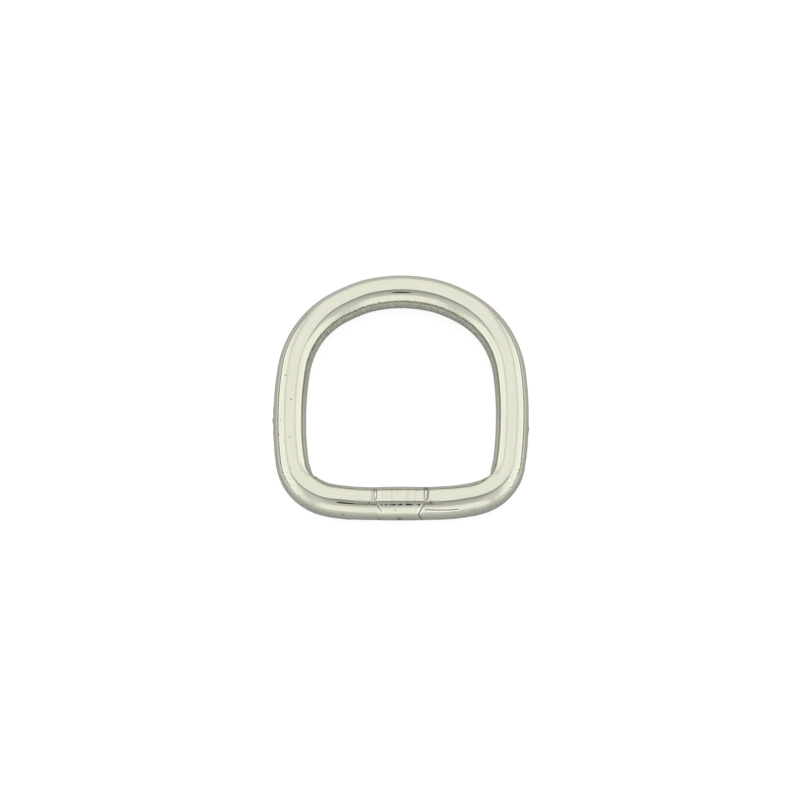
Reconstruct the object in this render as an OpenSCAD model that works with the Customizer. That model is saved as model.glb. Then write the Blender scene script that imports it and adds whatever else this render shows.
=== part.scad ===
// Welded D-ring bent from one length of round wire and lying flat on its side:
// a bow of tangent arcs over a slightly bowed bar, which is butt-welded in its middle.

/* [Wire] */
// Diameter of the round wire
wire_d = 3.5; // [1.5:0.1:6]

/* [Opening] */
// Width inside at the widest line, which takes a strap of this width
opening_w = 20.2; // [14:0.1:32]
// Height inside, from the middle of the bar to the top of the bow
opening_h = 20.95; // [14:0.05:36]
// Height of the widest line above the bar, as a share of the opening's height
widest_share = 0.39; // [0.3:0.01:0.5]

/* [Bow] */
// Turn of the wire from the top of the bow to each shoulder, in degrees
crown_turn = 12; // [6:1:24]
// Radius of the top of the bow over the radius of its shoulders
crown_flatness = 1.46; // [1:0.02:2]
// Turn of each side above the widest line, in degrees
side_turn = 8; // [4:1:14]

/* [Bar] */
// Turn of each side below the widest line, in degrees
lean_turn = 7; // [4:1:14]
// Radius of each lower corner on its inside
corner_in_r = 3.3; // [1:0.1:6]
// Turn of the bar from the weld to each corner, in degrees
bar_turn = 7.3; // [3:0.1:14]

/* [Weld] */
// Length of the straight weld in the middle of the bar
weld_len = 5.6; // [2:0.1:10]
// Height of the weld's barrel over the wire, at its middle
weld_rise = 0.08; // [0.03:0.01:0.3]
// Height of the step at each end of the weld's barrel
weld_step = 0.02; // [0.01:0.01:0.1]

/* [Corner creases] */
// Depth of the crease that the bending tool left inside each lower corner
crease_depth = 0.22; // [0.05:0.01:0.5]
// Turn between the two faces of a crease, in degrees
crease_turn = 48; // [20:2:90]
// Direction of a crease from its corner's centre, in degrees below level
crease_dir = 36; // [20:1:60]

/* [Hidden] */
$fn = 96;

// The wire's centre line: half its width, and how far it runs below and above the widest line
wire_r = wire_d / 2;
half_w = (opening_w + wire_d) / 2;
drop = opening_h * widest_share + wire_r;
rise = opening_h * (1 - widest_share) + wire_r;

// Directions of the joints between arcs, seen from the arcs' centres, in degrees from +X
right_angle = 90;
bar_end = bar_turn - right_angle;
crown_end = right_angle - crown_turn;

// Solves a * x + b * y = e with c * x + d * y = f, and returns [x, y]
function solve_pair(a, b, c, d, e, f) = [e * d - b * f, a * f - c * e] / (a * d - b * c);

// The bow closes over the widest line where its shoulder and side radii make up half_w and rise
bow = solve_pair(
    crown_flatness * cos(crown_end) + cos(side_turn) - cos(crown_end),
    1 - cos(side_turn),
    crown_flatness * (1 - sin(crown_end)) + sin(crown_end) - sin(side_turn),
    sin(side_turn),
    half_w,
    rise
);
shoulder_r = bow[0];
side_r = bow[1];
crown_r = crown_flatness * shoulder_r;

// The bar closes under it where its bar and leaning side radii make up half_w and drop
corner_r = corner_in_r + wire_r;
base = solve_pair(
    cos(bar_end),
    1 - cos(lean_turn),
    1 + sin(bar_end),
    sin(lean_turn),
    half_w - weld_len / 2 - corner_r * (cos(lean_turn) - cos(bar_end)),
    drop - corner_r * (-sin(bar_end) - sin(lean_turn))
);
bar_r = base[0];
lean_r = base[1];

// A direction as a unit vector
function way(angle) = [cos(angle), sin(angle)];

// Centres of the right half's arcs, each reached from the arc before it, and of the crown's arc
bar_centre = [weld_len / 2, bar_r - drop];
corner_centre = bar_centre + (bar_r - corner_r) * way(bar_end);
lean_centre = corner_centre + (corner_r - lean_r) * way(-lean_turn);
side_centre = lean_centre + (lean_r - side_r) * way(0);
shoulder_centre = side_centre + (side_r - shoulder_r) * way(side_turn);
crown_centre = [0, rise - crown_r];

// The weld's barrel stands proud of the wire, so it is what the ring lies on
weld_r = wire_r + weld_rise;
barrel_len = 0.96 * weld_len;
swell = weld_rise - weld_step;
barrel_r = (pow(barrel_len / 2, 2) + pow(swell, 2)) / (2 * swell);
middle_y = (rise + wire_r - drop - weld_r) / 2;

// A length rounded to hundredths
function coarse(length) = round(100 * length) / 100;

// Moves to a place in two steps, hundredths first and then the rest, so that the arcs meet exactly
module at(x, y) {
    translate([coarse(x), coarse(y), 0])
        translate([x - coarse(x), y - coarse(y), 0])
            children();
}

// Wire bent round a centre from one direction to another
module bend(centre, radius, from, to) {
    at(centre[0], centre[1])
        rotate_extrude(angle = to - from, start = from)
            at(radius, 0)
                circle(r = wire_r);
}

// Right half of the wire, from the middle of the bar up to the shoulder
module half_wire() {
    at(0, -drop)
        rotate([0, right_angle, 0])
            cylinder(r = wire_r, h = weld_len / 2);
    bend(bar_centre, bar_r, -right_angle, bar_end);
    bend(corner_centre, corner_r, bar_end, -lean_turn);
    bend(lean_centre, lean_r, -lean_turn, 0);
    bend(side_centre, side_r, 0, side_turn);
    bend(shoulder_centre, shoulder_r, side_turn, crown_end);
}

// Weld in the middle of the bar: a barrel turned round the wire's straight stretch
module weld() {
    at(0, -drop)
        rotate([0, right_angle, 0])
            rotate_extrude()
                intersection() {
                    translate([weld_r - barrel_r, 0])
                        circle(r = barrel_r);
                    translate([0, -barrel_len / 2])
                        square([weld_r, barrel_len]);
                }
}

// Kite that cuts the crease inside the right corner, from the corner's centre out to the crease's tip
module crease() {
    tip = corner_in_r + crease_depth;
    face = right_angle - crease_turn / 2;
    foot = tip * sin(face) * way(right_angle - face);
    at(corner_centre[0], corner_centre[1])
        rotate([0, 0, -crease_dir])
            linear_extrude(height = wire_d, center = true)
                polygon([[0, 0], [foot[0], -foot[1]], [tip, 0], foot]);
}

module ring() {
    color("silver")
        translate([0, -middle_y, weld_r])
            difference() {
                union() {
                    bend(crown_centre, crown_r, crown_end, 2 * right_angle - crown_end);
                    for (side = [0, 1])
                        mirror([side, 0, 0])
                            half_wire();
                    weld();
                }
                for (side = [0, 1])
                    mirror([side, 0, 0])
                        crease();
            }
}

ring();
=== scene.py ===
"""A welded D-ring of nickel-plated steel wire, lying flat in a white light tent."""
from math import asin, cos, degrees, radians, sin

import bpy
import numpy as np
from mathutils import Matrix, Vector


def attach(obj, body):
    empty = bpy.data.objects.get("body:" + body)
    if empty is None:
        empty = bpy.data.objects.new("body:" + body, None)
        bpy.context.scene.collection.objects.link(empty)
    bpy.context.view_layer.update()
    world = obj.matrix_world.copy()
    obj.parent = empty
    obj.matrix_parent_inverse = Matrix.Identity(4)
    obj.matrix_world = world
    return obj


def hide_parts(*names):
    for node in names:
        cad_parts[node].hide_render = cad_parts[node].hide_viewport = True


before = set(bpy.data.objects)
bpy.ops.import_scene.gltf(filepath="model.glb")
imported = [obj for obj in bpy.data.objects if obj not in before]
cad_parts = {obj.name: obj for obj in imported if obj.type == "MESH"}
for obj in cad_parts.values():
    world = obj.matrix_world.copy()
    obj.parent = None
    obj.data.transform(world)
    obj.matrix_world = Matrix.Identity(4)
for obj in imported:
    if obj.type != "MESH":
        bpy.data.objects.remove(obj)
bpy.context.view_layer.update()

# Millimetres in this script, metres in Blender
MM = 0.001
FULL_TURN = 360.0

# ---------------------------------------------------------------- the wire, as the CAD source has it
wire_d = 3.5
opening_w = 20.2
opening_h = 20.95
widest_share = 0.39
crown_turn = 12.0
crown_flatness = 1.46
side_turn = 8.0
lean_turn = 7.0
corner_in_r = 3.3
bar_turn = 7.3
weld_len = 5.6
weld_rise = 0.08
crease_dir = 36.0

wire_r = wire_d / 2
half_w = (opening_w + wire_d) / 2
drop = opening_h * widest_share + wire_r
rise = opening_h * (1 - widest_share) + wire_r
corner_r = corner_in_r + wire_r
bar_end = bar_turn - 90
crown_end = 90 - crown_turn
weld_r = wire_r + weld_rise
middle_y = (rise + wire_r - drop - weld_r) / 2


def solve_pair(a, b, c, d, e, f):
    """x and y from a * x + b * y = e together with c * x + d * y = f."""
    whole = a * d - b * c
    return (e * d - b * f) / whole, (a * f - c * e) / whole


def way(turn):
    """A direction in the plane of the ring, in degrees from +X."""
    return np.array([cos(radians(turn)), sin(radians(turn))])


def bend_arcs():
    """(centre, radius, first and last direction) of the arcs from the weld up to the top of the bow."""
    crown_x, crown_y = way(crown_end)
    side_x, side_y = way(side_turn)
    bar_x, bar_y = way(bar_end)
    lean_x, lean_y = way(-lean_turn)
    shoulder_r, side_r = solve_pair(
        crown_flatness * crown_x + side_x - crown_x,
        1 - side_x,
        crown_flatness * (1 - crown_y) + crown_y - side_y,
        side_y,
        half_w,
        rise,
    )
    bar_r, lean_r = solve_pair(
        bar_x,
        1 - lean_x,
        1 + bar_y,
        -lean_y,
        half_w - weld_len / 2 - corner_r * (lean_x - bar_x),
        drop - corner_r * (lean_y - bar_y),
    )
    crown_r = crown_flatness * shoulder_r
    bar_centre = np.array([weld_len / 2, bar_r - drop])
    corner_centre = bar_centre + (bar_r - corner_r) * way(bar_end)
    lean_centre = corner_centre + (corner_r - lean_r) * way(-lean_turn)
    side_centre = lean_centre + (lean_r - side_r) * way(0)
    shoulder_centre = side_centre + (side_r - shoulder_r) * way(side_turn)
    crown_centre = np.array([0, rise - crown_r])
    return [
        (bar_centre, bar_r, -90, bar_end),
        (corner_centre, corner_r, bar_end, -lean_turn),
        (lean_centre, lean_r, -lean_turn, 0),
        (side_centre, side_r, 0, side_turn),
        (shoulder_centre, shoulder_r, side_turn, crown_end),
        (crown_centre, crown_r, crown_end, 90),
    ]


ARCS = bend_arcs()
HALF_RUN = weld_len / 2 + sum(r * radians(last - first) for _, r, first, last in ARCS)
BAR_RUN = weld_len / 2 + ARCS[0][1] * radians(bar_turn)
CREASE_RUN = BAR_RUN + corner_r * radians(-crease_dir - bar_end)
CORNER_RUN = BAR_RUN + corner_r * radians(-lean_turn - bar_end)


# Where the wire was bent a little off the plain chain of arcs, outward and upward: (run, width, shift)
WANDER = [
    (HALF_RUN, 2.2, 0.023),
    (-34.8, 2.0, -0.101),
    (34.8, 2.0, -0.071),
    (-29.3, 2.4, 0.018),
    (29.3, 2.4, 0.056),
    (-24.5, 2.2, -0.021),
    (24.5, 2.2, 0.014),
    (-19.5, 2.5, -0.021),
    (-15.5, 5.0, 0.051),
    (16.5, 5.5, -0.054),
    (-11.0, 1.8, 0.038),
    (7.6, 2.0, -0.142),
    (-6.9, 1.8, 0.040),
    (0.0, 2.5, -0.027),
]
LIFT = [
    (-6.9, 1.9, 0.10),
    (5.6, 2.0, -0.065),
]


def bell(distance, size):
    """1 at distance 0, falling off smoothly over size."""
    return np.exp(-((distance / size) ** 2))


def centre_line(run):
    """Place, outward direction and lift of the centre line at lengths along it from the weld's middle."""
    reach = np.abs(run)
    side = np.where(run < 0, -1.0, 1.0)
    x, y = reach.copy(), np.full_like(reach, -drop)
    turn = np.full_like(reach, -90.0)
    begun = weld_len / 2
    for centre, radius, first, last in ARCS:
        here = reach >= begun
        now = np.minimum(first + np.degrees((reach - begun) / radius), last)
        x = np.where(here, centre[0] + radius * np.cos(np.radians(now)), x)
        y = np.where(here, centre[1] + radius * np.sin(np.radians(now)), y)
        turn = np.where(here, now, turn)
        begun += radius * radians(last - first)
    outward = np.stack([side * np.cos(np.radians(turn)), np.sin(np.radians(turn))], -1)
    strayed = np.zeros_like(reach)
    lifted = np.zeros_like(reach)
    for at_run, width, shift in WANDER:
        away = np.abs(run - at_run)
        strayed += shift * bell(np.minimum(away, 2 * HALF_RUN - away), width)
    for at_run, width, shift in LIFT:
        lifted += shift * bell(run - at_run, width)
    return np.stack([side * x, y], -1) + strayed[:, None] * outward, outward, lifted


# ---------------------------------------------------------------- relief of the wire's surface
# Places on the wire are given as (run, turn): the length along it from the weld's middle, to the
# right as the ring lies, and the turn round its section from its top line towards the opening.


def fade(value, start, end):
    """0 before start, 1 after end, and smooth between them."""
    share = np.clip((value - start) / (end - start), 0.0, 1.0)
    return share * share * (3 - 2 * share)


def between(turn, first, last, soft):
    """1 where turn lies between first and last, with soft ends."""
    return fade(turn, first - soft, first + soft) * (1 - fade(turn, last - soft, last + soft))


def smaller(one, other, soft):
    """The smaller of two heights, rounded where they meet."""
    gap = np.abs(one - other)
    return np.minimum(one, other) - soft * np.log1p(np.exp(-gap / soft))


def off_line(run, girth, places):
    """Distance over the surface to a line through places."""
    best = np.full(np.broadcast(run, girth).shape, 1e3)
    points = [(r, wire_r * radians(t)) for r, t in places]
    for (r0, g0), (r1, g1) in zip(points, points[1:]):
        dr, dg = r1 - r0, g1 - g0
        share = np.clip(((run - r0) * dr + (girth - g0) * dg) / (dr * dr + dg * dg), 0, 1)
        best = np.minimum(best, np.hypot(run - r0 - share * dr, girth - g0 - share * dg))
    return best


def ripples(points, finest, coarsest, count, seed):
    """Even random waves in space, between two wavelengths, of about unit height."""
    draw = np.random.default_rng(seed)
    total = np.zeros(points.shape[:-1])
    for _ in range(count):
        heading = draw.normal(size=3)
        heading /= np.linalg.norm(heading)
        wavelength = finest * (coarsest / finest) ** draw.random()
        total += np.sin(points @ heading * (2 * np.pi / wavelength) + draw.random() * 2 * np.pi)
    return total * (2 / count) ** 0.5


# The flash of the weld was trimmed and left these fine seams on either side of it
SEAM_LEFT_OUTER = [(-2.84, 66), (-2.91, 22), (-2.85, -7), (-2.68, -17)]
SEAM_LEFT_INNER = [(-2.66, 45), (-2.64, 10), (-2.66, -6)]
SEAM_LEFT_FAINT = [(-3.12, 40), (-3.10, -12)]
SEAM_LEFT_SLANT = [(-2.68, -18), (-2.50, -28), (-2.04, -51)]
SEAM_RIGHT_INNER = [(2.46, 50), (2.44, 10), (2.46, -8)]
SEAM_RIGHT_OUTER = [(2.70, 70), (2.76, 42), (2.84, 20), (2.77, 0), (2.66, -12)]
SEAM_RIGHT_SLANT = [(2.42, -22), (2.20, -37), (1.86, -60)]
SEAM_RIGHT_LOW = [(1.84, -64), (2.06, -82), (2.32, -100), (2.50, -130)]
SEAM_RIGHT_FAINT = [(2.98, 35), (2.86, -8)]
GROOVES = [
    SEAM_LEFT_OUTER,
    SEAM_LEFT_INNER,
    SEAM_LEFT_SLANT,
    SEAM_RIGHT_INNER,
    SEAM_RIGHT_OUTER,
    SEAM_RIGHT_SLANT,
    SEAM_RIGHT_LOW,
]
RIDGES = [
    [(-2.44, -24), (-1.98, -52)],
    [(2.22, -24), (1.70, -58)],
    [(2.28, -48), (2.04, -58)],
    [(-2.77, 24), (-2.77, 2)],
    [(2.60, 8), (2.58, -8)],
]
GROOVE_DEPTH, GROOVE_WIDTH = 0.035, 0.055
RIDGE_HEIGHT, RIDGE_WIDTH = 0.025, 0.06

# Low ridges that the weld's grinding left across the wire: (run, width, height)
GRIND_MARKS = [
    (-2.20, 0.08, 0.006),
    (-1.80, 0.09, 0.008),
    (-1.37, 0.08, 0.008),
    (-0.95, 0.07, 0.005),
    (-0.41, 0.12, 0.009),
    (0.28, 0.12, 0.009),
    (1.29, 0.17, 0.012),
    (2.22, 0.10, 0.008),
]

# The bar is a little thicker than the wire and the bow a little thinner, on both sides:
# (run, length, height)
THICKENING = [
    (7.0, 3.0, 0.026),
    (29.5, 4.5, -0.012),
]

# Broad swells and dents of the bar, at its lower front, along the edge of its flattened inside, and
# under its front left: (run, length, girth, width, height)
SWELLS = [
    (-3.0, 4.5, -2.00, 0.80, 0.040),
    (-7.0, 1.8, 1.34, 0.50, 0.015),
    (4.4, 1.8, 1.34, 0.50, 0.038),
    (8.6, 1.1, 1.34, 0.50, -0.028),
    (-6.5, 0.8, -0.80, 0.35, -0.007),
]

# Fine lines that the drawing die and the handling left: (places, depth)
SCRATCHES = [
    ([(2.55, -44.5), (4.2, -46.5), (5.94, -49)], 0.014),
    ([(-4.49, -74.5), (-2.67, -72.5)], 0.006),
    ([(-5.30, -46), (-4.95, -52)], 0.008),
]
SCRATCH_WIDTH = 0.05

# Lumps and dents from bending and handling: (run, turn, length, width, height)
KNOCKS = [
    (-18.75, -90, 0.28, 0.3, 0.10),
    (17.75, -90, 0.28, 0.3, 0.08),
    (-16.1, 1, 0.22, 0.22, -0.012),
    (-15.3, 15, 0.22, 0.22, -0.012),
    (-19.8, -90, 0.35, 0.3, 0.045),
    (-17.4, -90, 0.40, 0.3, 0.035),
    (4.3, 67, 1.5, 0.7, 0.065),
    (4.2, -113, 1.4, 1.0, -0.030),
    (-7.5, 67, 1.0, 0.7, 0.040),
    (-5.6, -113, 0.6, 1.0, 0.040),
    (-8.0, -113, 0.8, 1.0, -0.020),
    (13.8, -95, 0.8, 0.9, -0.040),
]

# Pits, dark in their middle: (run, turn, radius, depth)
PITS = [
    (-23.24, -22.5, 0.10, 0.020),
    (-20.49, 3.5, 0.10, 0.020),
    (-18.25, -33, 0.07, 0.012),
    (-16.65, -44.5, 0.07, 0.012),
    (29.91, -28, 0.08, 0.014),
    (-6.02, -71.5, 0.11, 0.030),
    (3.14, -20.5, 0.17, 0.008),
    (-2.35, -91, 0.22, 0.030),
    (-0.18, -90, 0.30, 0.035),
    (-0.35, -82, 0.12, 0.010),
    (1.65, 27, 0.07, 0.004),
]

# The creases inside the lower corners, left and right: (length from the weld's middle, depth)
CREASE_LEFT = [
    (9.4, 0.0),
    (10.3, 0.12),
    (10.78, 0.40),
    (11.1, 0.29),
    (11.45, 0.24),
    (11.9, 0.10),
    (12.5, 0.0),
]
CREASE_RIGHT = [
    (8.5, 0.0),
    (9.2, 0.27),
    (9.9, 0.34),
    (10.35, 0.48),
    (10.7, 0.62),
    (11.05, 0.46),
    (11.5, 0.30),
    (12.2, 0.08),
    (12.6, 0.0),
]
CREASE_SOFTNESS = (-0.14, -0.07, 0.0, 0.07, 0.14)
CREASE_ROUNDING = 0.02

# How far the weld's barrel rises at its sides, and how much less towards the opening
BARREL_RISE, BARREL_LEAN = 0.05, 0.015
# The weld's front is fuller below and a little hollow above
WELD_FRONT_SWELL, WELD_FRONT_HOLLOW = 0.045, 0.0045
# Depth to which the inside of the bar was pressed flat
FLAT_DEPTH = 0.042
# Height of the metal pushed up beside the creases
PUSHED_UP = 0.030
# Heights of the fine textures
STROKE_HEIGHT = 0.0007
WRINKLE_HEIGHT = 0.006
STRETCH_HEIGHT = 0.006
PEEL_HEIGHT = 0.0006


def weld_relief(run, turn, girth):
    """The weld: a low barrel, fullest underneath, ground smooth across the wire."""
    barrel = np.clip(1 - (run / (weld_len / 2)) ** 2, 0, 1)
    sides = BARREL_RISE - BARREL_LEAN * np.sin(np.radians(turn))
    height = barrel * (sides + (weld_rise - BARREL_RISE) * bell(180 - np.abs(turn), 50))
    ground = 1 - fade(np.abs(run), 2.3, 2.7)
    across = np.stack(np.broadcast_arrays(run, 0.12 * girth, 0.0 * run), -1)
    height += STROKE_HEIGHT * ground * ripples(across, 0.18, 0.6, 50, 7)
    height += WELD_FRONT_SWELL * ground * bell(girth + 2.1, 0.6)
    height -= WELD_FRONT_HOLLOW * ground * bell(girth + 0.72, 0.18)
    for at_run, size, rise_by in GRIND_MARKS:
        away = run - at_run + 0.03 * np.sin(2 * girth + 9 * at_run)
        height += rise_by * bell(away, size) * fade(girth, -1.45, -1.05)
    return height


def swell_relief(run, girth):
    """Where the wire is thicker, thinner, flatter or fuller than a plain round one."""
    reach = np.abs(run)
    height = -FLAT_DEPTH * (1 - fade(reach, 7, 10)) * bell(girth - 1.5, 0.6)
    for at_run, length, rise_by in THICKENING:
        height += rise_by * bell(reach - at_run, length)
    for at_run, length, at_girth, width, rise_by in SWELLS:
        height += rise_by * bell(run - at_run, length) * bell(girth - at_girth, width)
    return height


def line_relief(run, girth):
    """Seams and ridges of the trimmed flash, and scratches."""
    height = np.zeros(np.broadcast(run, girth).shape)
    for line in GROOVES:
        height -= GROOVE_DEPTH * bell(off_line(run, girth, line), GROOVE_WIDTH)
    for line in RIDGES:
        height += RIDGE_HEIGHT * bell(off_line(run, girth, line), RIDGE_WIDTH)
    for line, depth in SCRATCHES:
        height -= depth * bell(off_line(run, girth, line), SCRATCH_WIDTH)
    return height


def bend_relief(run, turn, girth, skin):
    """The bending wrinkled the skin inside the bow and pulled it rough outside the lower corners."""
    reach = np.abs(run)
    wrinkled = fade(reach, CORNER_RUN + 5, CORNER_RUN + 12) * between(turn, 56, 130, 8)
    wrinkled += 0.25 * fade(reach, CORNER_RUN + 8, CORNER_RUN + 14) * between(turn, 38, 52, 6)
    wrinkled += 1.8 * bell(reach - 9.6, 1.3) * between(turn, 38, 90, 8)
    across = np.stack(np.broadcast_arrays(run, 0.4 * girth, 0.0 * run), -1)
    height = WRINKLE_HEIGHT * wrinkled * ripples(across, 0.25, 0.5, 60, 3)
    stretched = bell(reach - CORNER_RUN, 5.5) * between(turn, -140, -62, 10)
    stretched += 0.45 * bell(reach - 11.5, 3.0) * between(turn, -62, -28, 8)
    stretched += 0.8 * bell(run - 7.5, 2.4) * between(turn, -140, -52, 6)
    height += STRETCH_HEIGHT * stretched * ripples(skin, 0.25, 0.6, 80, 5)
    height += PUSHED_UP * bell(reach - 13.3, 0.8) * between(turn, 50, 120, 15)
    return height


def mark_relief(run, girth):
    """Knocks and pits."""
    height = np.zeros(np.broadcast(run, girth).shape)
    for at_run, at_turn, length, width, rise_by in KNOCKS:
        away = np.hypot((run - at_run) / length, (girth - wire_r * radians(at_turn)) / width)
        height += rise_by * bell(away, 1.0)
    for at_run, at_turn, radius, depth in PITS:
        away = np.hypot(run - at_run, girth - wire_r * radians(at_turn))
        height -= depth * bell(away, radius)
    return height


def press_creases(height, run, turn):
    """The upright walls where the bending tool's edge pressed into the inside of each lower corner."""
    inside = np.maximum(np.sin(np.radians(turn)), 0.2)
    for side, places in ((-1, CREASE_LEFT), (1, CREASE_RIGHT)):
        reach, depth = zip(*places)
        softened = [np.interp(side * run + shift, reach, depth) for shift in CREASE_SOFTNESS]
        pressed = np.mean(softened, axis=0)
        wall = (wire_r - pressed) / inside - wire_r
        cut = smaller(height, wall, CREASE_ROUNDING)
        height = np.where(pressed > CREASE_ROUNDING, cut, height)
    return height


def relief(run, turn, skin):
    """Height of the wire's surface over the plain round wire."""
    girth = wire_r * np.radians(turn)
    height = weld_relief(run, turn, girth) + swell_relief(run, girth) + line_relief(run, girth)
    height += bend_relief(run, turn, girth, skin) + mark_relief(run, girth)
    height += PEEL_HEIGHT * ripples(skin, 0.6, 2.5, 60, 4)
    return press_creases(height, run, turn)


# ---------------------------------------------------------------- the wire's mesh
SIDES = 96
TOP_FINENESS = 0.25
WIRE_STEP = 0.094
WELD_STEP = 0.038
CREASE_STEP = 0.05


def stations():
    """Lengths along the wire of the mesh's rings of points, closer together at the weld and the creases."""
    fine = np.linspace(-HALF_RUN, HALF_RUN, 40001)
    reach = np.abs(fine)
    step = np.full_like(fine, WIRE_STEP)
    step += (WELD_STEP - WIRE_STEP) * (1 - fade(reach, 3.3, 4.2))
    step += (CREASE_STEP - WIRE_STEP) * bell(reach - CREASE_RUN, 0.6)
    passed = np.concatenate([[0], np.cumsum((1 / step[1:] + 1 / step[:-1]) / 2 * np.diff(fine))])
    count = round(passed[-1])
    return np.interp(np.arange(count) * passed[-1] / count, passed, fine)


def wire_mesh():
    """The whole ring as one closed skin, with the run and the turn of each point kept for its finish."""
    run = stations()
    rings = len(run)
    even = np.arange(SIDES) * (2 * np.pi / SIDES) - np.pi
    turn = np.degrees(even - TOP_FINENESS * np.sin(even))
    centre, outward, lifted = centre_line(run)
    around = np.radians(turn)
    aside = -outward[:, None, :] * np.sin(around)[None, :, None]
    up = np.broadcast_to(np.cos(around)[None, :, None], (rings, SIDES, 1))
    facing = np.concatenate([aside, up], -1)
    base = np.concatenate([centre, weld_r + lifted[:, None]], -1) - [0, middle_y, 0]
    skin = base[:, None, :] + wire_r * facing
    skin = skin + relief(run[:, None], turn[None, :], skin)[..., None] * facing

    ring, side = np.meshgrid(np.arange(rings), np.arange(SIDES), indexing="ij")
    next_ring, next_side = (ring + 1) % rings, (side + 1) % SIDES
    corners = [
        ring * SIDES + side,
        ring * SIDES + next_side,
        next_ring * SIDES + next_side,
        next_ring * SIDES + side,
    ]
    faces = np.stack(corners, -1).reshape(-1, 4)
    mesh = bpy.data.meshes.new("wire_ring")
    mesh.from_pydata((skin * MM).reshape(-1, 3).tolist(), [], faces.tolist())

    # The map holds millimetres along the wire and round it, without a jump where the rings close
    end_run = np.append(run, 2 * HALF_RUN + run[0])
    end_girth = wire_r * np.radians(np.append(turn, FULL_TURN + turn[0]))
    u = np.stack([end_run[ring], end_run[ring], end_run[ring + 1], end_run[ring + 1]], -1)
    v = np.stack([end_girth[side], end_girth[side + 1], end_girth[side + 1], end_girth[side]], -1)
    layer = mesh.uv_layers.new(name="wire_map")
    layer.uv.foreach_set("vector", np.stack([u, v], -1).astype(np.float32).ravel())
    mesh.shade_smooth()
    mesh.update()
    return mesh


# ---------------------------------------------------------------- shader nodes
class Number:
    """A number in a node tree that takes ordinary arithmetic."""

    def __init__(self, tree, socket):
        self.tree = tree
        self.socket = socket

    def step(self, operation, *others):
        """One step of arithmetic with others."""
        node = place(self.tree, "ShaderNodeMath", operation=operation)
        for socket, value in zip(node.inputs, (self, *others)):
            feed(self.tree, socket, value)
        return Number(self.tree, node.outputs[0])

    def __add__(self, other):
        return self.step("ADD", other)

    def __sub__(self, other):
        return self.step("SUBTRACT", other)

    def __rsub__(self, other):
        return self.step("MULTIPLY_ADD", -1.0, other)

    def __mul__(self, other):
        return self.step("MULTIPLY", other)

    def __truediv__(self, other):
        return self.step("DIVIDE", other)

    __radd__ = __add__
    __rmul__ = __mul__

    def size(self):
        """The number without its sign."""
        return self.step("ABSOLUTE")

    def least(self, other):
        """The smaller of the two."""
        return self.step("MINIMUM", other)

    def most(self, other):
        """The larger of the two."""
        return self.step("MAXIMUM", other)

    def slide(self, start, end, low=0.0, high=1.0):
        """low where the number is under start, high where it is over end, and smooth between them."""
        node = place(self.tree, "ShaderNodeMapRange", interpolation_type="SMOOTHSTEP")
        given = {"Value": self, "From Min": start, "From Max": end, "To Min": low, "To Max": high}
        for name, value in given.items():
            feed(self.tree, node.inputs[name], value)
        return Number(self.tree, node.outputs[0])

    def hump(self, middle, width):
        """1 at middle, falling off smoothly over width."""
        away = (self - middle) / width
        return (away * away + 1.0).step("POWER", -2.0)

    def choose(self, one, other):
        """one where the number is 0, other where it is 1."""
        node = place(self.tree, "ShaderNodeMix", data_type="FLOAT")
        feed(self.tree, node.inputs[0], self)
        feed(self.tree, node.inputs[2], one)
        feed(self.tree, node.inputs[3], other)
        return Number(self.tree, node.outputs[0])


def place(tree, kind, **settings):
    """A new node of that kind."""
    node = tree.nodes.new(kind)
    for name, value in settings.items():
        setattr(node, name, value)
    return node


def feed(tree, socket, value):
    """Gives a socket a value or another node's output."""
    if isinstance(value, Number):
        tree.links.new(value.socket, socket)
    elif isinstance(value, bpy.types.NodeSocket):
        tree.links.new(value, socket)
    else:
        socket.default_value = value


def split(tree, vector):
    """The three parts of a vector."""
    node = place(tree, "ShaderNodeSeparateXYZ")
    feed(tree, node.inputs[0], vector)
    return [Number(tree, socket) for socket in node.outputs]


def vector_step(tree, operation, *given):
    """One step of arithmetic with vectors, whose result is a vector or a number."""
    node = place(tree, "ShaderNodeVectorMath", operation=operation)
    for socket, value in zip(node.inputs, given):
        feed(tree, socket, value)
    gives_number = operation in ("DOT_PRODUCT", "LENGTH", "DISTANCE")
    return Number(tree, node.outputs["Value"]) if gives_number else node.outputs["Vector"]


def blend_colour(tree, share, one, other):
    """one where share is 0, other where it is 1."""
    node = place(tree, "ShaderNodeMix", data_type="RGBA")
    feed(tree, node.inputs[0], share)
    feed(tree, node.inputs[6], one)
    feed(tree, node.inputs[7], other)
    return node.outputs[2]


# ---------------------------------------------------------------- the light tent
# The tent is a white box round the ring. Its sizes are shares of its half width.
CAMERA_HEIGHT = 67.0
TENT_TOP, TENT_FRONT, TENT_BACK = 1.19, 1.13, 1.40
LIGHT_SIDE, LIGHT_TOP, LIGHT_FRONT, LIGHT_BACK = 1.19, 1.10, 1.12, 1.09
LENS_SPREAD = 4.3
LENS_EDGE = 0.4
LENS_HEIGHT = 62.5
LENS_LIGHT = 0.03
WHITE = (1.0, 1.0, 1.0, 1.0)
COOL_WHITE = (0.96, 1.0, 1.07, 1.0)


def level(angle):
    """The upward part of a direction that many degrees above the table."""
    return sin(radians(angle))


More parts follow.
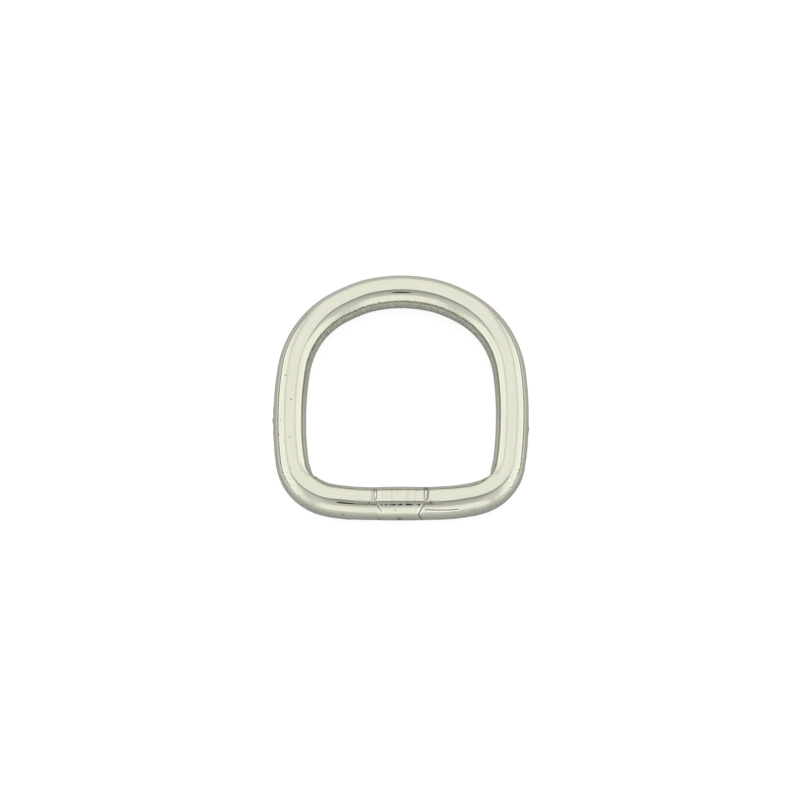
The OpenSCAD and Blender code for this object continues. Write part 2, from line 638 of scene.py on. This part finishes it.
def tent_walls(side, end, top, behind):
    """Light of the walls, from how near a ray comes to a side, to the front or back, and to the top."""
    on_side = side.slide(0.95, 1.0, 0.001)
    on_end = end.slide(0.96, 1.0, 0.001)
    on_top = top.slide(0.97, 1.0, 0.001)

    # The sides dim towards the front, and more so higher up
    dim_from = top.slide(0.40, 0.75, 0.25, 0.10)
    dim_to = top.slide(0.50, 0.85, 1.0, 0.63)
    dimmed = end.slide(dim_from, dim_to) * top.slide(0.40, 0.80, 0.20, 0.29)
    far_corner = end.slide(0.5, 1.0) * 0.20
    under_top = top.slide(0.80, 0.95) * 0.11
    side_light = (1.0 - behind.choose(dimmed, far_corner)) * (1.0 - under_top) * LIGHT_SIDE

    # The front and back dim towards the corners, the front also towards the camera's opening
    near_corner = side.slide(0.60, 1.0) * behind.choose(0.26, 0.20)
    under_opening = top.slide(0.72, 1.0) * behind.choose(0.27, 0.0)
    end_light = (1.0 - near_corner) * (1.0 - under_opening) * behind.choose(LIGHT_FRONT, LIGHT_BACK)

    # The top has a darker frame along its sides
    top_frame = side.slide(0.65, 0.78) * 0.17
    top_light = (1.0 - top_frame) * LIGHT_TOP

    light = on_side * side_light + on_end * end_light + on_top * top_light
    light = light / (on_side + on_end + on_top)
    seam = top.least(side).slide(0.965, 0.99) * 0.12
    return light * (1.0 - seam)


def tent_foot(light, z, side, end, behind):
    """The sides end above the table in a dark gap, the front and back sweep down to it."""
    foot = z.hump(level(9.0), 0.05) * 0.22
    gap = z.slide(level(2.5), level(6.0), 0.20, 1.0) + foot
    front_sweep = z.slide(level(0.3), level(5.8), 0.50, 1.0)
    back_sweep = z.slide(level(-8.0), level(18.0), 0.46, 1.0)
    sideways = (side - end).slide(behind.choose(0.58, -0.25), behind.choose(0.82, 0.25))
    return light * sideways.choose(behind.choose(front_sweep, back_sweep), gap)


def camera_opening(light, across, along, inside_top):
    """The light with the darker room in the camera's opening, and a mask of the cooler cloth behind it."""
    wide = (across / 0.6) * (across / 0.6)
    rim = wide * 0.13 - 0.095
    shade = along.hump(rim - 0.05, across.size().slide(0.15, 0.6, 0.32, 0.15)) * 0.30
    room = wide * 0.10 + 0.657 - shade + along.slide(-0.6, -1.0) * 0.12
    opening = (along - rim).slide(0.012, -0.012)
    light = (opening * inside_top).choose(light, light.least(room))
    return light, (along - rim).hump(0.20, 0.10) * inside_top


def light_tent():
    """The studio: a box of white cloth, open at the top front for the camera, whose lens shows dark."""
    world = bpy.data.worlds.new("light_tent")
    world.use_nodes = True
    tree = world.node_tree
    tree.nodes.clear()
    heading = place(tree, "ShaderNodeTexCoord").outputs["Generated"]
    x, y, z = split(tree, heading)
    behind = y.step("GREATER_THAN", 0.0)

    # How near each ray comes to a side, the front or back, and the top, as shares of the one that it meets
    to_side = x.size()
    to_end = y.size() / behind.choose(TENT_FRONT, TENT_BACK)
    to_top = z.most(0.0) / TENT_TOP
    met = to_side.most(to_end).most(to_top)
    side = to_side / met
    end = to_end / met
    top = to_top / met
    light = tent_walls(side, end, top, behind)
    light = tent_foot(light, z, side, end, behind)
    height = z.most(0.02)
    light, cool = camera_opening(light, x / height, y / height, top.slide(0.96, 1.0))

    # The lens
    lens = Vector((0, -cos(radians(LENS_HEIGHT)), sin(radians(LENS_HEIGHT))))
    facing = vector_step(tree, "DOT_PRODUCT", heading, lens)
    outer, inner = cos(radians(LENS_SPREAD + LENS_EDGE)), cos(radians(LENS_SPREAD - LENS_EDGE))
    light = facing.slide(outer, inner).choose(light, LENS_LIGHT)

    glow = place(tree, "ShaderNodeBackground")
    feed(tree, glow.inputs["Color"], blend_colour(tree, cool, WHITE, COOL_WHITE))
    feed(tree, glow.inputs["Strength"], light)
    backdrop = place(tree, "ShaderNodeBackground")
    backdrop.inputs["Color"].default_value = WHITE
    mix = place(tree, "ShaderNodeMixShader")
    feed(tree, mix.inputs[0], place(tree, "ShaderNodeLightPath").outputs["Is Camera Ray"])
    feed(tree, mix.inputs[1], glow.outputs[0])
    feed(tree, mix.inputs[2], backdrop.outputs[0])
    out = place(tree, "ShaderNodeOutputWorld")
    feed(tree, out.inputs["Surface"], mix.outputs[0])
    bpy.context.scene.world = world


# ---------------------------------------------------------------- the nickel plate
# Dark lines of painted shade and grime in the crevices of the weld: (places, half width)
DARK_LINES = [
    (SEAM_LEFT_OUTER, 0.075),
    (SEAM_LEFT_INNER, 0.060),
    (SEAM_LEFT_FAINT, 0.050),
    (SEAM_LEFT_SLANT, 0.080),
    (SEAM_RIGHT_INNER, 0.070),
    (SEAM_RIGHT_OUTER, 0.110),
    (SEAM_RIGHT_SLANT, 0.095),
    (SEAM_RIGHT_LOW, 0.095),
    (SEAM_RIGHT_FAINT, 0.045),
    ([(2.50, -24), (2.90, -22)], 0.060),
    ([(2.55, -45), (5.94, -49.5)], 0.100),
    ([(2.55, 66), (2.62, 40)], 0.140),
]

# Painted highlights as bright lines beside them: (places, half width)
PAINTED_HIGHLIGHT_LINES = [
    ([(-2.40, -24), (-1.94, -52)], 0.120),
    ([(2.16, -24), (1.68, -60)], 0.100),
    ([(2.30, -46), (2.06, -58)], 0.100),
    ([(-2.77, 24), (-2.77, 2)], 0.090),
    ([(-4.3, -71), (-2.6, -69)], 0.050),
    ([(2.7, -49), (5.94, -53.5)], 0.100),
]


def crease_edge(side, places, reaches):
    """Where the wall of a crease meets the wire's surface, at some lengths from the weld's middle."""
    depths = np.interp(reaches, *zip(*places))
    return [(side * reach, degrees(asin(1 - depth / wire_r)) - 2) for reach, depth in zip(reaches, depths)]


# Painted shade as greyer lines along the edges of the creases, and beside a scratch from handling: (places,
# half width, strength)
PAINTED_SHADE_LINES = [
    (crease_edge(-1, CREASE_LEFT, (9.2, 10.8, 11.9)), 0.16, 0.90),
    (crease_edge(1, CREASE_RIGHT, (8.6, 10.6, 12.1)), 0.16, 0.85),
    ([(-4.3, -75), (-2.6, -73)], 0.06, 0.50),
]

# Faint stains in the polish: (run, turn, radius, strength)
STAINS = [
    (-0.65, -45.5, 0.17, 0.50),
    (-16.13, -2.5, 0.25, 0.28),
    (-15.79, -23, 0.16, 0.28),
    (-16.80, -46, 0.13, 0.40),
    (3.14, -20.5, 0.20, 0.90),
    (-3.45, -21, 0.14, 0.80),
    (5.45, -56, 0.34, 0.30),
    (7.55, -61, 0.55, 0.16),
    (8.85, -62, 0.40, 0.14),
]
# A pit's darkening reaches this far past the pit
PIT_DARK_REACH = 1.4

# The plate's colours
PLATE_GREENISH = (0.698, 0.703, 0.580, 1.0)
PLATE_WARM = (0.735, 0.702, 0.615, 1.0)
DRAWN_DARK = (0.650, 0.650, 0.530, 1.0)
DRAWN_LIGHT = (0.760, 0.755, 0.640, 1.0)
SPECKLED = (0.640, 0.640, 0.520, 1.0)
HAZY = (0.62, 0.62, 0.505, 1.0)
WRINKLE_DARK = (0.42, 0.42, 0.31, 1.0)
WRINKLE_LIGHT = (0.86, 0.85, 0.75, 1.0)
# A painted dark reflection along the inside of the bow past the lower corners
PAINTED_DARK_REFLECTION = (0.38, 0.38, 0.28, 1.0)
RUBBED_EDGE = (0.88, 0.86, 0.76, 1.0)
BRUISE_DARK = (0.46, 0.46, 0.36, 1.0)
BRUISE_LIGHT = (0.88, 0.87, 0.78, 1.0)
STROKE_DARK = (0.60, 0.58, 0.46, 1.0)
STROKE_LIGHT = (0.78, 0.77, 0.64, 1.0)
# Stains, and painted shade along the creases
STAIN_AND_SHADE = (0.34, 0.32, 0.25, 1.0)
# Painted highlights
PAINTED_HIGHLIGHT = (0.90, 0.90, 0.82, 1.0)
# Grime and painted shade in the crevices, and darkening round the pits
DIRT_AND_SHADE = (0.17, 0.165, 0.14, 1.0)

# How dull the polish is, and what is added to it
POLISH_ROUGHNESS = 0.03
WELD_ROUGHNESS = 0.02
BESIDE_WELD_ROUGHNESS = 0.11
DARK_MARK_ROUGHNESS = 0.3
CLOUD_ROUGHNESS = 0.02
HAZE_ROUGHNESS = 0.05
# Height of the bump for marks too fine for the mesh
FINE_HEIGHT = 0.0006


def new_group(name, inputs, output):
    """An empty node group with named sockets, and its two ends."""
    group = bpy.data.node_groups.new(name, "ShaderNodeTree")
    for socket, kind in inputs:
        group.interface.new_socket(socket, in_out="INPUT", socket_type=kind)
    group.interface.new_socket(output, in_out="OUTPUT", socket_type="NodeSocketFloat")
    return group, place(group, "NodeGroupInput").outputs, place(group, "NodeGroupOutput").inputs


def line_group():
    """1 on a straight line between two places on the wire, falling off over its width."""
    sockets = [("Place", "NodeSocketVector"), ("From", "NodeSocketVector"), ("To", "NodeSocketVector")]
    group, given, result = new_group("fine_line", [*sockets, ("Width", "NodeSocketFloat")], "Mask")
    length = vector_step(group, "SUBTRACT", given["To"], given["From"])
    passed = vector_step(group, "SUBTRACT", given["Place"], given["From"])
    along = vector_step(group, "DOT_PRODUCT", passed, length)
    share = along / vector_step(group, "DOT_PRODUCT", length, length)
    nearest = place(group, "ShaderNodeVectorMath", operation="SCALE")
    feed(group, nearest.inputs[0], length)
    feed(group, nearest.inputs["Scale"], share.most(0.0).least(1.0))
    away = vector_step(group, "DISTANCE", passed, nearest.outputs[0])
    feed(group, result["Mask"], (away / Number(group, given["Width"])).slide(1.0, 0.25))
    return group


def spot_group():
    """1 at a place on the wire, falling off over its size."""
    sockets = [("Place", "NodeSocketVector"), ("Middle", "NodeSocketVector"), ("Size", "NodeSocketFloat")]
    group, given, result = new_group("small_spot", sockets, "Mask")
    away = vector_step(group, "DISTANCE", given["Place"], given["Middle"])
    feed(group, result["Mask"], (away / Number(group, given["Size"])).slide(1.0, 0.3))
    return group


def use_group(tree, group, **given):
    """A node of that group, with its one result."""
    node = place(tree, "ShaderNodeGroup", node_tree=group)
    for name, value in given.items():
        feed(tree, node.inputs[name], value)
    return Number(tree, node.outputs[0])


def on_wire(run, turn):
    """A place in the wire's map."""
    return run, wire_r * radians(turn), 0.0


def strongest(masks):
    """The largest of some masks, each joined to the others as soon as it is made."""
    best = None
    for mask in masks:
        best = mask if best is None else best.most(mask)
    return best


def tint(tree, colour, *layers):
    """A colour with others laid over it one after another: (share, colour)."""
    for share, over in layers:
        colour = blend_colour(tree, share, colour, over)
    return colour


class Plate:
    """The plate's finish in its node tree, read from where each point lies on the wire.

    run and reach are millimetres along the wire from the weld's middle, with and without their side,
    and girth is millimetres round it from its top line towards the opening.
    """

    def __init__(self, tree):
        self.tree = tree
        self.spot = place(tree, "ShaderNodeUVMap", uv_map="wire_map").outputs[0]
        self.run, self.girth, _ = split(tree, self.spot)
        self.reach = self.run.size()
        self.weld = self.reach.slide(2.75, 2.45)
        self.past_corner = self.reach.slide(CORNER_RUN + 6, CORNER_RUN + 12)

    def grain(self, scale, detail=2.0, stretch=(1.0, 1.0, 1.0)):
        """Noise from 0 to 1 over the surface."""
        noise = place(self.tree, "ShaderNodeTexNoise")
        feed(self.tree, noise.inputs["Vector"], vector_step(self.tree, "MULTIPLY", self.spot, stretch))
        noise.inputs["Scale"].default_value = scale
        noise.inputs["Detail"].default_value = detail
        return Number(self.tree, noise.outputs[0])

    def line_masks(self, group, lines):
        """Masks of lines through places on the wire: (places, half width, strength if not full)."""
        for places, width, *strength in lines:
            for start, stop in zip(places, places[1:]):
                ends = {"From": on_wire(*start), "To": on_wire(*stop)}
                mask = use_group(self.tree, group, Place=self.spot, Width=width, **ends)
                yield mask * strength[0] if strength else mask

    def spot_masks(self, group, spots):
        """Masks of small spots on the wire: (run, turn, size, strength if not full)."""
        for run, turn, size, *strength in spots:
            mask = use_group(self.tree, group, Place=self.spot, Middle=on_wire(run, turn), Size=size)
            yield mask * strength[0] if strength else mask

    def marks(self):
        """Masks of the grime and painted shade in crevices and the darkening round pits, of the painted
        highlights, and of stains together with painted shade along the creases.
        """
        fine_line = line_group()
        small_spot = spot_group()
        # Grime and painted shade along the crevices, and darkening round the pits
        crevices = strongest(self.line_masks(fine_line, DARK_LINES))
        pits = [(run, turn, radius * PIT_DARK_REACH) for run, turn, radius, _ in PITS]
        dirt_and_shade = crevices.most(strongest(self.spot_masks(small_spot, pits)))
        dirt_and_shade = dirt_and_shade * self.grain(9.0).slide(0.25, 0.6, 0.55, 1.0)
        # Painted highlights beside the ridges and scratches
        highlights = strongest(self.line_masks(fine_line, PAINTED_HIGHLIGHT_LINES))
        # Stains, joined below with painted shade along the creases
        stains = strongest(self.spot_masks(small_spot, STAINS))
        return dirt_and_shade, highlights, stains.most(strongest(self.line_masks(fine_line, PAINTED_SHADE_LINES)))

    def haze(self):
        """Haze where the bends wrinkled and stretched the plate."""
        inner = self.girth.slide(1.4, 1.7) * self.reach.slide(CORNER_RUN + 3, CORNER_RUN + 9)
        outer = self.girth.slide(-1.8, -2.1) * self.reach.slide(4.0, 7.5) * self.reach.slide(22.0, 17.0)
        specks = self.grain(3.6, 3.0, (1.0, 0.6, 1.0)).slide(0.42, 0.60)
        streaks = self.grain(4.5, 3.0, (0.25, 1.0, 1.0)).slide(0.45, 0.62)
        return (inner * specks).most(outer * specks.most(streaks))

    def polish(self, clouds, flecks):
        """The clean plate's colour: faint clouds, drawing lines and fine flecks."""
        colour = blend_colour(self.tree, clouds.slide(0.48, 0.75), PLATE_GREENISH, PLATE_WARM)
        drawn = self.grain(5.0, 2.0, (0.04, 1.0, 1.0))
        return tint(
            self.tree,
            colour,
            (drawn.slide(0.50, 0.70) * 0.5, DRAWN_DARK),
            (drawn.slide(0.50, 0.30) * 0.5, DRAWN_LIGHT),
            (flecks.slide(0.35, 0.65) * 0.22, SPECKLED),
        )

    def bow_wear(self, colour):
        """The colour with the wrinkles inside the bow, a painted dark reflection along their edge, and
        their rubbed tops.
        """
        ticks = self.grain(5.0, 3.0, (1.0, 0.3, 1.0))
        creep = self.girth + ticks * 0.30
        rim = self.girth.slide(1.75, 1.95) * self.reach.slide(19.0, 25.0)
        rim = rim * self.reach.slide(40.0, 35.0, 0.5, 1.0)
        # A ragged band of painted dark reflection along the inside past the lower corners
        rough = creep.slide(1.84, 1.92) * creep.slide(2.14, 2.02) * self.past_corner
        rubbed = creep.slide(1.35, 1.50) * creep.slide(1.92, 1.82) * ticks.slide(0.56, 0.66)
        return tint(
            self.tree,
            colour,
            (rim * ticks.slide(0.50, 0.60) * 0.6, WRINKLE_DARK),
            (rim * ticks.slide(0.50, 0.40) * 0.6, WRINKLE_LIGHT),
            (rough * 0.32, PAINTED_DARK_REFLECTION),
            (rubbed * self.reach.slide(33.0, 37.0) * 0.7, RUBBED_EDGE),
        )

    def corner_wear(self, colour, flecks):
        """The colour with the bruises inside and outside the lower corners and under the bar's right."""
        inner = self.reach.hump(11.2, 1.7) * self.girth.slide(0.40, 0.85)
        outer = self.reach.hump(12.0, 1.8) * self.girth.slide(-0.30, -0.60) * self.girth.slide(-1.75, -1.45)
        under = self.run.hump(7.0, 2.8) * self.girth.slide(-1.60, -1.80) * 0.9
        bruised = inner.most(outer * 0.7).most(under)
        return tint(
            self.tree,
            colour,
            (bruised * flecks.slide(0.52, 0.66) * 0.5, BRUISE_DARK),
            (bruised * flecks.slide(0.47, 0.35) * 0.8, BRUISE_LIGHT),
        )

    def weld_wear(self, colour):
        """The colour with the strokes that the grinding left over the weld."""
        strokes = self.grain(2.4, 2.0, (1.0, 0.05, 1.0))
        weld_top = self.weld * self.girth.slide(-0.90, -0.55)
        return tint(
            self.tree,
            colour,
            (weld_top * strokes.slide(0.48, 0.64) * 0.5, STROKE_DARK),
            (weld_top * strokes.slide(0.46, 0.34) * 0.5, STROKE_LIGHT),
        )

    def roughness(self, dirt_and_shade, clouds, haze):
        """Smooth, but duller beside the weld, in the crevices and where it is hazy."""
        beside_right = self.run.slide(2.6, 2.9) * self.run.slide(4.6, 4.0) * 1.4
        beside_left = self.run.slide(-5.4, -4.6) * self.run.slide(-2.6, -3.0) * 1.3
        dull = self.weld * WELD_ROUGHNESS + (beside_left + beside_right) * BESIDE_WELD_ROUGHNESS
        dull = dull + dirt_and_shade * DARK_MARK_ROUGHNESS + haze * HAZE_ROUGHNESS
        return dull + clouds.slide(0.5, 0.8) * CLOUD_ROUGHNESS + POLISH_ROUGHNESS

    def fine_marks(self):
        """Heights for the bump: strokes across the weld, drawing lines, and the grain of the bends."""
        drawn = self.grain(6.0, 3.0, (0.05, 1.0, 1.0))
        ground = self.grain(6.0, 3.0, (1.0, 0.08, 1.0))
        pulled = self.girth.slide(-0.8, -1.3) * self.reach.slide(5.0, 9.0) * self.reach.slide(18.5, 15.5)
        folded = self.girth.slide(1.0, 1.25) * self.past_corner
        peel = self.grain(5.5, 3.0, (1.0, 0.7, 1.0))
        folds = self.grain(5.5, 3.0, (1.0, 0.25, 1.0))
        return self.weld.choose(drawn * 0.4, ground) + pulled * peel * 9.0 + folded * folds * 11.0


def nickel_plate():
    """Polished nickel plate with a warm, slightly green cast."""
    finish = bpy.data.materials.new("nickel_plate")
    finish.use_nodes = True
    tree = finish.node_tree
    metal = tree.nodes["Principled BSDF"]
    plate = Plate(tree)
    dirt_and_shade, highlights, stain_and_shade = plate.marks()
    haze = plate.haze()
    clouds = plate.grain(0.7, 4.0)
    flecks = plate.grain(6.0, 2.0, (0.7, 0.8, 1.0))
    colour = tint(tree, plate.polish(clouds, flecks), (haze, HAZY))
    colour = plate.weld_wear(plate.corner_wear(plate.bow_wear(colour), flecks))
    # Stains with painted shade along the creases, then painted highlights, then grime and painted shade in
    # the crevices
    colour = tint(tree, colour, (stain_and_shade, STAIN_AND_SHADE), (highlights, PAINTED_HIGHLIGHT), (dirt_and_shade, DIRT_AND_SHADE))
    feed(tree, metal.inputs["Base Color"], colour)
    feed(tree, metal.inputs["Roughness"], plate.roughness(dirt_and_shade, clouds, haze))
    bump = place(tree, "ShaderNodeBump")
    bump.inputs["Distance"].default_value = FINE_HEIGHT * MM
    feed(tree, bump.inputs["Height"], plate.fine_marks())
    feed(tree, metal.inputs["Normal"], bump.outputs[0])
    metal.inputs["Metallic"].default_value = 1.0
    return finish


# ---------------------------------------------------------------- the table
# The table is diffuse and nearly white to the camera. The ring mirrors it as a grey sheet with painted
# light towards its sides and painted shade in its front corners, all in millimetres from the middle.
TABLE_GREY = (0.24, 0.24, 0.24, 1.0)
TABLE_LIFT = 0.86
SHEET_GREY = (0.54, 0.55, 0.56, 1.0)
SHEET_PAINTED_LIGHT = (0.82, 0.82, 0.80, 1.0)
SHEET_PAINTED_SHADE = (0.07, 0.07, 0.065, 1.0)
SHEET_ROUGHNESS = 0.25


def pale_table():
    """A pale table, seen white by the camera and mirrored grey by the ring."""
    finish = bpy.data.materials.new("pale_table")
    finish.use_nodes = True
    tree = finish.node_tree
    tree.nodes.clear()
    seen = place(tree, "ShaderNodeBsdfDiffuse")
    seen.inputs["Color"].default_value = TABLE_GREY
    lift = place(tree, "ShaderNodeEmission")
    lift.inputs["Color"].default_value = WHITE
    lift.inputs["Strength"].default_value = TABLE_LIFT
    both = place(tree, "ShaderNodeAddShader")
    feed(tree, both.inputs[0], seen.outputs[0])
    feed(tree, both.inputs[1], lift.outputs[0])
    mirrored = place(tree, "ShaderNodeBsdfPrincipled")
    x, y, _ = split(tree, place(tree, "ShaderNodeNewGeometry").outputs["Position"])
    aside = x.size() / MM
    # Painted shade in the front corners and painted light towards the sides of the mirrored sheet
    corner = aside.slide(33.0, 36.0) * (y / MM).slide(-20.0, -12.0)
    sheet = tint(tree, SHEET_GREY, (aside.slide(22.0, 27.0), SHEET_PAINTED_LIGHT), (corner, SHEET_PAINTED_SHADE))
    feed(tree, mirrored.inputs["Base Color"], sheet)
    mirrored.inputs["Roughness"].default_value = SHEET_ROUGHNESS
    mix = place(tree, "ShaderNodeMixShader")
    feed(tree, mix.inputs[0], place(tree, "ShaderNodeLightPath").outputs["Is Camera Ray"])
    feed(tree, mix.inputs[1], mirrored.outputs[0])
    feed(tree, mix.inputs[2], both.outputs[0])
    out = place(tree, "ShaderNodeOutputMaterial")
    feed(tree, out.inputs["Surface"], mix.outputs[0])
    return finish


# ---------------------------------------------------------------- the scene
# The photograph's frame: its size in pixels, millimetres to a pixel, and where the ring lies in it
FRAME_PX = 800
PIXEL = 0.10638
RIGHT_PX, DOWN_PX = -1.29, 2.09
LENS, SENSOR = 1000.0, 36.0
TABLE_HALF = 2.0


def add_camera():
    """The photograph's camera: in front of the bar, looking down, with a long lens."""
    camera = bpy.data.cameras.new("camera")
    camera.lens = LENS
    camera.sensor_width = SENSOR
    seat = bpy.data.objects.new("camera", camera)
    bpy.context.collection.objects.link(seat)
    tilt = radians(CAMERA_HEIGHT)
    back = Vector((0, -cos(tilt), sin(tilt)))
    up = Vector((0, sin(tilt), cos(tilt)))
    aim = Vector((RIGHT_PX * PIXEL, 0, weld_r)) - up * DOWN_PX * PIXEL
    distance = PIXEL * FRAME_PX * LENS / SENSOR
    seat.location = (aim + back * distance) * MM
    seat.rotation_euler = (radians(90 - CAMERA_HEIGHT), 0, 0)
    camera.clip_start = distance * 0.1 * MM
    camera.clip_end = distance * 10 * MM
    bpy.context.scene.camera = seat


def add_table():
    """A wide plain table under the ring."""
    mesh = bpy.data.meshes.new("table")
    corners = [(-1, -1), (1, -1), (1, 1), (-1, 1)]
    mesh.from_pydata([(x * TABLE_HALF, y * TABLE_HALF, 0) for x, y in corners], [], [(0, 1, 2, 3)])
    table = bpy.data.objects.new("table", mesh)
    bpy.context.collection.objects.link(table)
    mesh.materials.append(pale_table())


def add_ring():
    """The ring, in place of the plain solid."""
    ring = bpy.data.objects.new("wire_ring", wire_mesh())
    bpy.context.collection.objects.link(ring)
    ring.data.materials.append(nickel_plate())
    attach(ring, "root")
    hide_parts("ring")


scene = bpy.context.scene
scene.view_settings.view_transform = "Standard"
light_tent()
add_table()
add_ring()
add_camera()
